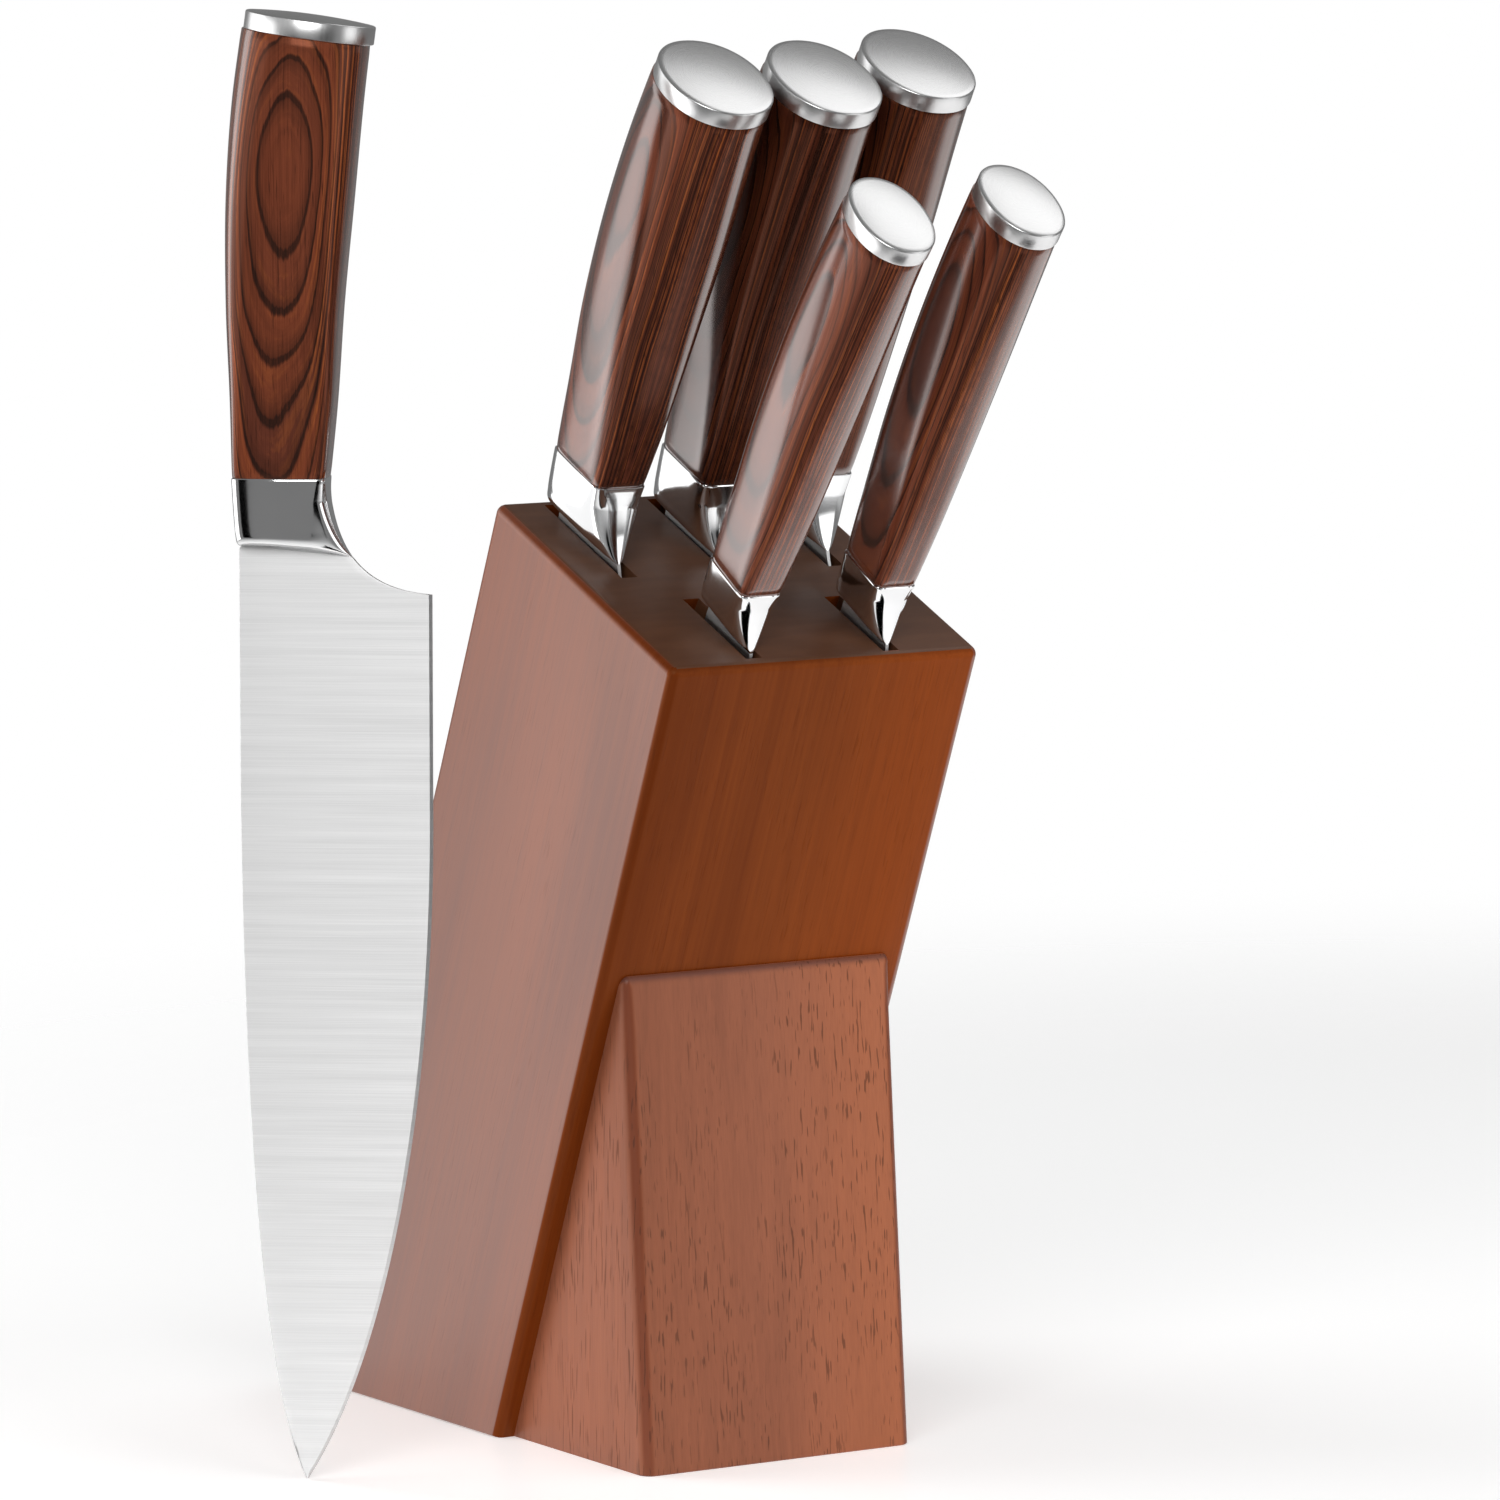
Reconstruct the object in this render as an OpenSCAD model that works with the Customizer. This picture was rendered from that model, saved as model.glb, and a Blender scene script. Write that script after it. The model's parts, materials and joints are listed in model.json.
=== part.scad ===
// Slanted wooden knife block with five knives in its slots and a chef's knife
// standing beside it. Millimetres, +Z up. The origin is the middle of the
// slotted block's underside, +X is to the right and the foot is on the -Y side.

/* [Block] */
// Width of the slotted block
block_w = 82; // [80:0.5:100]
// Depth of the slotted block, square to its slant
block_d = 82; // [81:0.5:90]
// Length of the slanted back face
block_len = 234.4; // [228:0.2:260]
// Forward lean of the block from the vertical, in degrees
lean = 22.66; // [18:0.01:26]
// Radius of the block's long and top edges
edge_r = 2.2; // [1:0.1:2.5]

/* [Foot] */
// Width of the foot
foot_w = 72; // [50:0.5:78]
// Length of the foot's underside
foot_len = 57.3; // [54:0.1:70]
// Height of the foot
foot_h = 112.5; // [80:0.5:113]
// Backward lean of the foot's front face, in degrees
foot_lean = 4.6; // [2:0.1:4.7]
// Radius of the foot's front edges
foot_r = 3; // [1:0.5:5]
// Diameter of the two dowels between foot and block
dowel_d = 8; // [5:0.5:9]

/* [Slots] */
// Thickness of the spacer boards, which is the width of each slot
slot_w = 4.2; // [3:0.1:5]
// Distance of the back row's outer slots from the middle
back_row_x = 27.5; // [26:0.5:28]
// Distance of the front row's slots from the middle
front_row_x = 18; // [16:0.5:19]
// Wall left behind the back row's slots
back_wall = 3; // [2:0.5:4]

/* [Knives] */
// Blade length of the chef's knife
chef_len = 200; // [180:1:205]
// Blade length of the slicing knife
slicing_len = 200; // [170:1:204]
// Blade length of the santoku
santoku_len = 170; // [150:1:175]
// Blade length of the bread knife
bread_len = 200; // [170:1:204]
// Blade length of the utility knife
utility_len = 127; // [110:1:130]
// Blade length of the paring knife
paring_len = 90; // [80:1:94]
// Thickness of every blade at the spine
blade_t = 2.2; // [1.5:0.1:2.4]
// Length of every handle with its end cap, along its middle
handle_len = 102; // [98:0.5:106]
// Height of the end cap's side band
cap_band = 4.6; // [3:0.1:6]

/* [Hidden] */

wood_left = "#a9604a";
wood_front = "#9a4a20";
wood_foot = "#8c4327";
dowel_wood = "#d8b48a";
steel = "#c9ccd0";
mirror_steel = "#e4e6ea";
pakkawood = "#6e2a1a";

base_len = block_d / cos(lean);
half_base = base_len / 2;
slot_half = slot_w / 2;
round_fn = 48;
eps = 0.01;

// ---- small helpers ----

function bezier(p, t) =
    pow(1 - t, 3) * p[0] + 3 * pow(1 - t, 2) * t * p[1]
    + 3 * (1 - t) * t * t * p[2] + t * t * t * p[3];

function bezier_points(p, steps, from = 0, to = 1) =
    [for (i = [0 : steps]) bezier(p, from + (to - from) * i / steps)];

// A closed outline with square-ish or round sides. Its thickness may differ
// between the rear end, a0, and the front end, a1. squareness 2 is an ellipse.
function section(a0, a1, rear_t, front_t, squareness, count = 36) =
    [for (i = [0 : count - 1])
        let (c = cos(360 * (i + 0.5) / count))
        let (s = sin(360 * (i + 0.5) / count))
        let (u = sign(c) * pow(abs(c), 2 / squareness))
        let (v = sign(s) * pow(abs(s), 2 / squareness))
        let (t = rear_t + (front_t - rear_t) * (u + 1) / 2)
        [v * t, -((a0 + a1) / 2 + u * (a1 - a0) / 2)]];

// ---- the block's boards ----

// Places a part in the block's own slanted frame: the origin is the underside's
// back edge, +Z runs up the back face and -Y runs from back to front.
module in_block() {
    translate([0, half_base, 0]) rotate([lean, 0, 0]) children();
}

// The block seen from the side, with its upper corners rounded.
module block_outline() {
    top = block_len - edge_r;
    polygon([[0, 0], [0, top], [-edge_r, top], [-edge_r, block_len],
        [edge_r - block_d, block_len], [edge_r - block_d, top],
        [-block_d, top], [-block_d, block_d * tan(lean)]]);
    translate([-edge_r, top]) circle(r = edge_r, $fn = round_fn);
    translate([edge_r - block_d, top]) circle(r = edge_r, $fn = round_fn);
}

// A board of the block between two sideways positions.
module board(x0, x1) {
    in_block() translate([x0, 0, 0]) rotate([90, 0, 90])
        linear_extrude(x1 - x0) block_outline();
}

// An outer board, with its outer face's edges rounded in three small steps.
module cheek(side) {
    inner = back_row_x + slot_half;
    outer = block_w / 2;
    in_block() mirror([side < 0 ? 1 : 0, 0, 0]) hull() {
        for (turn = [0, 30, 60, 90]) {
            inset = edge_r * (1 - cos(turn));
            reach = outer - edge_r * (1 - sin(turn));
            translate([inner, 0, 0]) rotate([90, 0, 90])
                linear_extrude(reach - inner)
                    polygon([[-inset, inset * tan(lean)], [-inset, block_len - edge_r],
                        [-edge_r, block_len - inset],
                        [edge_r - block_d, block_len - inset],
                        [inset - block_d, block_len - edge_r],
                        [inset - block_d, (block_d - inset) * tan(lean)]]);
        }
    }
}

// A slot's outline in a spacer: from rear to front along the top face, then
// down by depth, leaning back as it goes by tilt degrees.
module channel(rear, front, depth, tilt) {
    shift = depth * tan(tilt);
    above = 2;
    rise = above * tan(tilt);
    polygon([[-rear - rise, block_len + above], [-front - rise, block_len + above],
        [shift - front, block_len - depth], [shift - rear, block_len - depth]]);
}

// A spacer board with one slot cut through it, centred at x.
module spacer(x, rear, front, depth, tilt) {
    in_block() translate([x - slot_half, 0, 0]) rotate([90, 0, 90])
        linear_extrude(slot_w) difference() {
            block_outline();
            channel(rear, front, depth, tilt);
        }
}

module cheek_board_left() { color(wood_left) cheek(-1); }
module cheek_board_right() { color(wood_left) cheek(1); }

module spacer_slicing() {
    color(wood_front) spacer(-back_row_x, back_wall, 39, slicing_len + 10, 0);
}
module spacer_bread() {
    color(wood_front) spacer(back_row_x, back_wall, 39.5, bread_len + 10, 0);
}
module spacer_middle() {
    color(wood_front) spacer(0, back_wall, 52.5, santoku_len + 14, 0);
}
module spacer_utility() {
    color(wood_front) spacer(-front_row_x, 50.5, 79, utility_len + 7, utility_tilt);
}
module spacer_paring() {
    color(wood_front) spacer(front_row_x, 53.5, 80, paring_len + 8, paring_tilt);
}

module board_left_outer() {
    color(wood_front) board(-back_row_x + slot_half, -front_row_x - slot_half);
}
module board_right_outer() {
    color(wood_front) board(front_row_x + slot_half, back_row_x - slot_half);
}

module board_left_inner() {
    color(wood_front) difference() {
        board(-front_row_x + slot_half, -slot_half);
        dowel_at(-1, dowel_d / 2, dowel_len / 2 + 1);
    }
}
module board_right_inner() {
    color(wood_front) difference() {
        board(slot_half, front_row_x - slot_half);
        dowel_at(1, dowel_d / 2, dowel_len / 2 + 1);
    }
}

// ---- the foot ----

dowel_len = 36;
dowel_x = front_row_x / 2;
dowel_up = 62;
foot_top_y = -half_base - foot_h * tan(lean);

// One dowel, square to the block's front face, reaching to both sides of it.
module dowel_at(side, radius, reach) {
    in_block() translate([side * dowel_x, -block_d, dowel_up])
        rotate([90, 0, 0]) translate([0, 0, -reach])
            cylinder(r = radius, h = 2 * reach, $fn = 48);
}

// The foot seen from the side, in Y and Z: a wedge that stands on its base and
// lies against the block's slanted front face, with a rounded top.
module foot_side() {
    front_y = -half_base - foot_len;
    front_top_y = front_y + foot_h * tan(foot_lean);
    crown = (foot_top_y - front_top_y) * 0.5;
    polygon([[-half_base, 0], [front_y, 0],
        [front_top_y - crown * tan(foot_lean), foot_h - crown],
        [front_top_y + crown * 0.3, foot_h - crown * 0.3],
        [front_top_y + crown, foot_h], [foot_top_y, foot_h]]);
}

// A prism parallel to the foot's front face, with its two long edges rounded.
module foot_front_prism() {
    front_y = -half_base - foot_len;
    half_w = foot_w / 2 - foot_r;
    translate([0, front_y, 0]) rotate([-foot_lean, 0, 0])
        translate([0, 0, -20]) linear_extrude(foot_h + 60) {
            translate([-half_w, 0]) square([2 * half_w, 90]);
            translate([-foot_w / 2, foot_r]) square([foot_w, 90 - foot_r]);
            for (side = [-1, 1])
                translate([side * half_w, foot_r]) circle(r = foot_r, $fn = round_fn);
        }
}

module foot() {
    color(wood_foot) difference() {
        intersection() {
            translate([-foot_w / 2, 0, 0]) rotate([90, 0, 90])
                linear_extrude(foot_w) foot_side();
            foot_front_prism();
        }
        for (side = [-1, 1]) dowel_at(side, dowel_d / 2, dowel_len / 2 + 1);
    }
}

module foot_dowels() {
    color(dowel_wood)
        for (side = [-1, 1]) dowel_at(side, dowel_d / 2 - 0.03, dowel_len / 2);
}

// ---- the knives ----
// A knife's own frame has its origin in the middle of the joint between bolster
// and handle. +Z runs up the handle, X is the blade's thickness, and a distance
// "a" towards the cutting edge lies along -Y.

// Handle sections from the bolster up: height as a share of the handle, shift
// towards the edge, half width, half thickness, squareness.
large_handle = [
    [0.00, 0.0, 10.6, 6.9, 7.0], [0.17, 0.7, 11.7, 8.6, 5.0], [0.38, 1.1, 12.9, 10.6, 3.8],
    [0.60, 2.3, 14.1, 11.9, 3.0], [0.81, 4.1, 14.6, 12.6, 2.4], [1.00, 6.6, 14.5, 12.7, 2.1]
];
small_handle = [
    [0.00, 0.0, 8.1, 5.5, 7.0], [0.17, 0.6, 9.3, 6.6, 5.0], [0.38, 1.1, 10.5, 7.8, 3.8],
    [0.60, 2.2, 11.5, 8.6, 3.0], [0.81, 3.8, 12.1, 9.1, 2.4], [1.00, 5.8, 12.2, 9.2, 2.1]
];
// How far the end cap's plane drops towards the edge side, in degrees
cap_tilt = 7.8;
cap_round = 1.2;

// Shapes of the curve from bolster to heel: sweeping on a wide blade, short on
// a narrow one. Each holds two control points as shares of the reach and drop.
wide_heel = [[0.04, 0.66], [0.36, 0.97]];
narrow_heel = [[0.22, 0.45], [0.55, 0.85]];

// A knife: blade length, drop from handle joint to heel, edge, spine and tip
// positions, lengths of the curved stretches of spine and edge up from the tip,
// heel curve, where the bolster ends along that curve, handle sections.
chef = [chef_len, 26, 33.6, -9.5, 4.6, 154, 154, wide_heel, 0.45, large_handle];
slicing = [slicing_len, 20, 19.4, -9.5, 3.5, 72, 90, narrow_heel, 0.72, large_handle];
santoku = [santoku_len, 24, 31.4, -9.5, 17, 70, 62, wide_heel, 0.46, large_handle];
bread = [bread_len, 20, 19.4, -9.5, 3, 26, 34, narrow_heel, 0.72, large_handle];
utility = [utility_len, 16.5, 12.6, -7.4, -1.5, 60, 84, narrow_heel, 0.72, small_handle];
paring = [paring_len, 16.5, 12.6, -7.4, 0.5, 48, 62, narrow_heel, 0.72, small_handle];

function drop(k) = k[1];
function edge_a(k) = k[2];
function spine_a(k) = k[3];
function sections(k) = k[9];
function cap_shift(k) = sections(k)[5][1];
function tip(k) = [k[4], -drop(k) - k[0]];

// The four control points of the front line, from the handle joint to the heel.
function heel_line(k) =
    let (start = [sections(k)[0][2], 0])
    let (reach = [edge_a(k) - start[0], -drop(k)])
    [start, start + [reach[0] * k[7][0][0], reach[1] * k[7][0][1]],
        start + [reach[0] * k[7][1][0], reach[1] * k[7][1][1]], start + reach];

// A curve that rises from the tip and runs out straight along the blade.
function from_tip(k, a, run, early, late) =
    let (t = tip(k))
    let (da = a - t[0])
    [t, t + [da * early[0], run * early[1]], t + [da * late[0], run * late[1]], [a, t[1] + run]];

function shoulder_z(k) = bezier(heel_line(k), k[8])[1];
tang_half = 4.5;
tang_len = 88;

// The blade's outline with its tang, drawn with the edge side on the right.
module blade_outline(k) {
    spine = from_tip(k, spine_a(k), k[5], [0.68, 0.13], [0.95, 0.49]);
    edge = from_tip(k, edge_a(k), k[6], [0.52, 0.15], [1.01, 0.49]);
    polygon(concat(
        [[spine_a(k), shoulder_z(k)]],
        bezier_points(spine, 16, 1, 0),
        bezier_points(edge, 16, 0.05, 1),
        bezier_points(heel_line(k), 12, 1, k[8])));
    translate([-tang_half, shoulder_z(k) - eps])
        square([2 * tang_half, tang_len - shoulder_z(k)]);
}

module blade(k) {
    translate([-blade_t / 2, 0, 0]) rotate([90, 0, 90]) linear_extrude(blade_t)
        mirror([1, 0]) blade_outline(k);
}

module tang_slot() {
    width = 2 * tang_half + 0.1;
    translate([-blade_t / 2 - 0.05, -width / 2, -60])
        cube([blade_t + 0.1, width, 60 + tang_len + 0.5]);
}

// Bolster sections: share of the way down the front line, half thickness at the
// rear and at the front as a share of the handle's, squareness.
bolster_steps = [
    [0, 1, 1, 7], [0.3, 0.97, 0.86, 7], [0.55, 0.9, 0.64, 6],
    [0.8, 0.66, 0.4, 5], [1, 0.19, 0.17, 4]
];

module thin_section(z, points) {
    translate([0, 0, z]) linear_extrude(eps) polygon(points);
}

module bolster_section(k, step) {
    first = sections(k)[0];
    front = bezier(heel_line(k), step[0] * k[8]);
    rear = -first[2] + step[0] * (spine_a(k) + first[2]);
    thin_section(front[1] - (step[0] > 0 ? 0 : eps), section(rear, front[0],
        first[3] * step[1], first[3] * step[2], step[3]));
}

// The bolster grows from a thin shoulder on the blade to the handle's section.
module bolster(k) {
    difference() {
        union() for (i = [0 : len(bolster_steps) - 2]) hull() {
            bolster_section(k, bolster_steps[i]);
            bolster_section(k, bolster_steps[i + 1]);
        }
        tang_slot();
    }
}

// Puts a part on the end cap's lower plane, which drops towards the edge side.
module on_cap_plane(k) {
    translate([0, -cap_shift(k), handle_len - cap_band]) rotate([cap_tilt, 0, 0]) children();
}

// Everything under the end cap's lower plane.
module under_cap(k) {
    on_cap_plane(k) translate([-60, -60, -200]) cube([120, 120, 200]);
}

module handle(k) {
    rows = sections(k);
    difference() {
        intersection() {
            union() for (i = [0 : len(rows) - 2]) hull() for (row = [rows[i], rows[i + 1]])
                thin_section(row[0] * handle_len, section(row[1] - row[2], row[1] + row[2],
                    row[3], row[3], row[4]));
            under_cap(k);
        }
        tang_slot();
    }
}

// The steel end cap: a band of the handle's last outline with a low domed top.
module end_cap(k) {
    last = sections(k)[5];
    half_w = last[2] - cap_round;
    half_t = last[3] - cap_round;
    on_cap_plane(k) hull() {
        linear_extrude(cap_band - 0.6)
            polygon(section(-last[2], last[2], last[3], last[3], last[4], 48));
        linear_extrude(cap_band + 0.3)
            polygon(section(-half_w, half_w, half_t, half_t, last[4], 48));
    }
}

// Where each knife sits in the block: sideways position, distance from the back
// along the top face and height above it of the handle joint, forward tilt.
slicing_tilt = 2;
santoku_tilt = 2;
bread_tilt = 0;
utility_tilt = 9;
paring_tilt = 7;

module in_slot(x, from_back, above, tilt) {
    in_block() translate([x, -from_back, block_len + above]) rotate([tilt, 0, 0]) children();
}
module slicing_place() { in_slot(-back_row_x - 0.6, 18.9, 18, slicing_tilt) children(); }
module santoku_place() { in_slot(-0.4, 20.3, 18, santoku_tilt) children(); }
module bread_place() { in_slot(back_row_x, 18.9, 18, bread_tilt) children(); }
module utility_place() { in_slot(-front_row_x + 0.6, 68, 15, utility_tilt) children(); }
module paring_place() { in_slot(front_row_x, 68.6, 15.2, paring_tilt) children(); }

// The chef's knife stands tip down to the left of the block, turned so that its
// side faces the front left.
chef_x = -104.2;
chef_y = -59.1;
chef_turn = 52;
module chef_place() {
    translate([chef_x, chef_y, chef_len + drop(chef)]) rotate([0, 0, chef_turn]) children();
}

module slicing_blade() { color(steel) slicing_place() blade(slicing); }
module slicing_bolster() { color(mirror_steel) slicing_place() bolster(slicing); }
module slicing_handle() { color(pakkawood) slicing_place() handle(slicing); }
module slicing_cap() { color(mirror_steel) slicing_place() end_cap(slicing); }

module santoku_blade() { color(steel) santoku_place() blade(santoku); }
module santoku_bolster() { color(mirror_steel) santoku_place() bolster(santoku); }
module santoku_handle() { color(pakkawood) santoku_place() handle(santoku); }
module santoku_cap() { color(mirror_steel) santoku_place() end_cap(santoku); }

module bread_blade() { color(steel) bread_place() blade(bread); }
module bread_bolster() { color(mirror_steel) bread_place() bolster(bread); }
module bread_handle() { color(pakkawood) bread_place() handle(bread); }
module bread_cap() { color(mirror_steel) bread_place() end_cap(bread); }

module utility_blade() { color(steel) utility_place() blade(utility); }
module utility_bolster() { color(mirror_steel) utility_place() bolster(utility); }
module utility_handle() { color(pakkawood) utility_place() handle(utility); }
module utility_cap() { color(mirror_steel) utility_place() end_cap(utility); }

module paring_blade() { color(steel) paring_place() blade(paring); }
module paring_bolster() { color(mirror_steel) paring_place() bolster(paring); }
module paring_handle() { color(pakkawood) paring_place() handle(paring); }
module paring_cap() { color(mirror_steel) paring_place() end_cap(paring); }

module chef_blade() { color(steel) chef_place() blade(chef); }
module chef_bolster() { color(mirror_steel) chef_place() bolster(chef); }
module chef_handle() { color(pakkawood) chef_place() handle(chef); }
module chef_cap() { color(mirror_steel) chef_place() end_cap(chef); }

cheek_board_left();
spacer_slicing();
board_left_outer();
spacer_utility();
board_left_inner();
spacer_middle();
board_right_inner();
spacer_paring();
board_right_outer();
spacer_bread();
cheek_board_right();
foot();
foot_dowels();
slicing_blade();
slicing_bolster();
slicing_handle();
slicing_cap();
santoku_blade();
santoku_bolster();
santoku_handle();
santoku_cap();
bread_blade();
bread_bolster();
bread_handle();
bread_cap();
utility_blade();
utility_bolster();
utility_handle();
utility_cap();
paring_blade();
paring_bolster();
paring_handle();
paring_cap();
chef_blade();
chef_bolster();
chef_handle();
chef_cap();
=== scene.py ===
"""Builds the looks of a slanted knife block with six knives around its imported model.

Lengths in the tables and functions are millimetres in a part's own frame, and
become metres when a mesh is made. A knife's frame has its origin in the middle
of the joint between bolster and handle, +Z up the handle, X through the blade's
thickness, and a distance "a" towards the cutting edge along -Y.
"""

import json
import math

import bmesh
import bpy
from mathutils import Euler, Matrix, Vector


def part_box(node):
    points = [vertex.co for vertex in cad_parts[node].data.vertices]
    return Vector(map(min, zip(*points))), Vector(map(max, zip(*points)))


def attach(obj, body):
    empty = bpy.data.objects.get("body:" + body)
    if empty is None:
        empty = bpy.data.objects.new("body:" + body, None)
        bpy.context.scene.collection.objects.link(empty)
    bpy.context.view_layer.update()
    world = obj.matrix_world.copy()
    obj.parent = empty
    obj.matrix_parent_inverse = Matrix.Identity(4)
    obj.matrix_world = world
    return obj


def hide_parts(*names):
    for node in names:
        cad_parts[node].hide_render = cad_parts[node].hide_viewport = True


bl_info = {
    "name": "Knife Block Workshop",
    "version": (1, 0, 0),
    "blender": (4, 5, 0),
    "location": "3D View > Sidebar > Knife Block",
    "description": "Makes a wooden knife block, its knives and a plain studio around them",
    "category": "Object",
}

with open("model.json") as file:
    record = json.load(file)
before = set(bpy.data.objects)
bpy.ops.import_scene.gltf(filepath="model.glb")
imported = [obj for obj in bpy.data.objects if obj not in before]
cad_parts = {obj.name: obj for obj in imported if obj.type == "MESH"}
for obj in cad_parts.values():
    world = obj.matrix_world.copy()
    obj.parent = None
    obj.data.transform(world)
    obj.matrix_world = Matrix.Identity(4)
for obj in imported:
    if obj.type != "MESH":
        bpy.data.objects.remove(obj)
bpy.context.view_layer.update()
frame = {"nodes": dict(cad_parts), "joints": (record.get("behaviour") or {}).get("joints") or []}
MM = 0.001


# ---------------------------------------------------------------- the frame


def joint_axis(knife):
    """The unit vector that a knife is drawn along, from its tip to its cap."""
    joint = next(j for j in frame["joints"] if j["child"] == knife + "_knife")
    return Vector(joint["axis"]).normalized()


def block_lean():
    """The block's forward lean in radians: the bread knife stands square in it."""
    axis = joint_axis("bread")
    return math.atan2(-axis.y, axis.z)


def along(node, direction):
    """Lowest and highest reach of a CAD node along a direction, in metres."""
    reach = [v.co.dot(direction) for v in frame["nodes"][node].data.vertices]
    return min(reach), max(reach)


def block_frame():
    """The block's slanted frame: its origin is the underside's back edge."""
    turn = Matrix.Rotation(block_lean(), 4, "X")
    half_base = along_floor() / 2
    return Matrix.Translation((0.0, half_base, 0.0)) @ turn


def along_floor():
    """Length of the block's underside from back to front, in metres."""
    return block_depth() / math.cos(block_lean())


def block_depth():
    """Depth of the block square to its slant, in metres."""
    low, high = along("spacer_middle", Matrix.Rotation(block_lean(), 3, "X") @ Vector((0, 1, 0)))
    return high - low


def block_length():
    """Length of the block's slanted back, in metres."""
    up = Matrix.Rotation(block_lean(), 3, "X") @ Vector((0, 0, 1))
    back_edge = Vector((0.0, along_floor() / 2, 0.0)).dot(up)
    return along("spacer_middle", up)[1] - back_edge


def knife_frame(knife, chef_turn):
    """Where a knife stands at rest, read from its CAD handle and its joint's axis."""
    up = joint_axis(knife)
    if knife == "chef":
        turn = Matrix.Rotation(chef_turn, 3, "Z")
    else:
        turn = Matrix.Rotation(math.atan2(-up.y, up.z), 3, "X")
    thick, back = turn @ Vector((1, 0, 0)), turn @ Vector((0, 1, 0))
    foot = along(knife + "_handle", up)[0]
    ring = [
        v.co for v in frame["nodes"][knife + "_handle"].data.vertices if v.co.dot(up) < foot + 1e-5
    ]
    middle = [(min(r) + max(r)) / 2 for r in ([p.dot(d) for p in ring] for d in (thick, back))]
    origin = thick * middle[0] + back * middle[1] + up * foot
    return Matrix.Translation(origin) @ turn.to_4x4()


# ---------------------------------------------------------------- mesh making


def bezier(points, t):
    """A point on a cubic curve."""
    p, q, r, s = (Vector(point) for point in points)
    u = 1.0 - t
    return p * u**3 + q * (3 * u * u * t) + r * (3 * u * t * t) + s * t**3


def smooth_rows(rows, t):
    """Rows of numbers, each led by its place from 0 to 1, as one smooth curve."""
    last = len(rows) - 1
    i = max(k for k in range(last) if rows[k][0] <= t or k == 0)
    left, right = rows[i], rows[i + 1]
    before, after = rows[max(i - 1, 0)], rows[min(i + 2, last)]
    span = right[0] - left[0]
    u = min(max((t - left[0]) / span, 0.0), 1.0)
    found = []
    for k in range(1, len(left)):
        leave = (right[k] - before[k]) / (right[0] - before[0]) * span
        arrive = (after[k] - left[k]) / (after[0] - left[0]) * span
        found.append(
            (2 * u**3 - 3 * u * u + 1) * left[k]
            + (u**3 - 2 * u * u + u) * leave
            + (3 * u * u - 2 * u**3) * right[k]
            + (u**3 - u * u) * arrive
        )
    return found


def oval(half_w, half_t, squareness, count):
    """Points (thickness, a) round a section; squareness 2 is an ellipse."""
    power = 2.0 / squareness
    found = []
    for i in range(count):
        turn = math.tau * (i + 0.5) / count
        c, s = math.cos(turn), math.sin(turn)
        x = math.copysign(abs(s) ** power, s) * half_t
        a = math.copysign(abs(c) ** power, c) * half_w
        found.append((x, a))
    return found


def loft(name, rings, smooth_angle=35.0):
    """A closed mesh object through rings of points, each ring of the same length."""
    mesh = bpy.data.meshes.new(name)
    bm = bmesh.new()
    rows = [[bm.verts.new(Vector(p) * MM) for p in ring] for ring in rings]
    for low, high in zip(rows, rows[1:]):
        for i in range(len(low)):
            j = (i + 1) % len(low)
            bm.faces.new((low[i], low[j], high[j], high[i]))
    bm.faces.new(list(reversed(rows[0])))
    bm.faces.new(rows[-1])
    bmesh.ops.remove_doubles(bm, verts=bm.verts, dist=1e-7)
    bmesh.ops.dissolve_degenerate(bm, edges=bm.edges, dist=1e-7)
    bmesh.ops.recalc_face_normals(bm, faces=bm.faces)
    bm.to_mesh(mesh)
    bm.free()
    mesh.shade_smooth()
    mesh.set_sharp_from_angle(angle=math.radians(smooth_angle))
    piece = bpy.data.objects.new(name, mesh)
    bpy.context.scene.collection.objects.link(piece)
    return piece


OWN_PLACE = "own_place"


def fit_piece(piece, node, body, material, place=None):
    """Puts a piece in its place, gives it its finish and lets it stand for a CAD node.

    Each point keeps its place in the piece's own frame, for the grain to follow.
    """
    mesh = piece.data
    own = mesh.attributes.new(OWN_PLACE, "FLOAT_VECTOR", "POINT")
    own.data.foreach_set("vector", [c for vertex in mesh.vertices for c in vertex.co])
    if place is not None:
        mesh.transform(place)
    mesh.materials.append(material)
    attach(piece, body)
    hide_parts(node)


# ---------------------------------------------------------------- the block

BOARDS = ("board_left_outer", "board_left_inner", "board_right_inner", "board_right_outer")
SPACERS = ("spacer_slicing", "spacer_utility", "spacer_middle", "spacer_paring", "spacer_bread")
CHEEKS = ("cheek_board_left", "cheek_board_right")

# Each slot's rear and front end along the top face, its depth and its tilt in degrees.
SLOTS = {
    "spacer_slicing": (3.0, 39.0, 210.0, 0.0),
    "spacer_utility": (50.5, 79.0, 134.0, 9.0),
    "spacer_middle": (3.0, 52.5, 184.0, 0.0),
    "spacer_paring": (53.5, 80.0, 98.0, 7.0),
    "spacer_bread": (3.0, 39.5, 210.0, 0.0),
}


def arc(centre, radius, start, end, steps):
    """Points round part of a circle, angles in degrees."""
    found = []
    for i in range(steps + 1):
        turn = math.radians(start + (end - start) * i / steps)
        found.append((centre[0] + radius * math.cos(turn), centre[1] + radius * math.sin(turn)))
    return found


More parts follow.
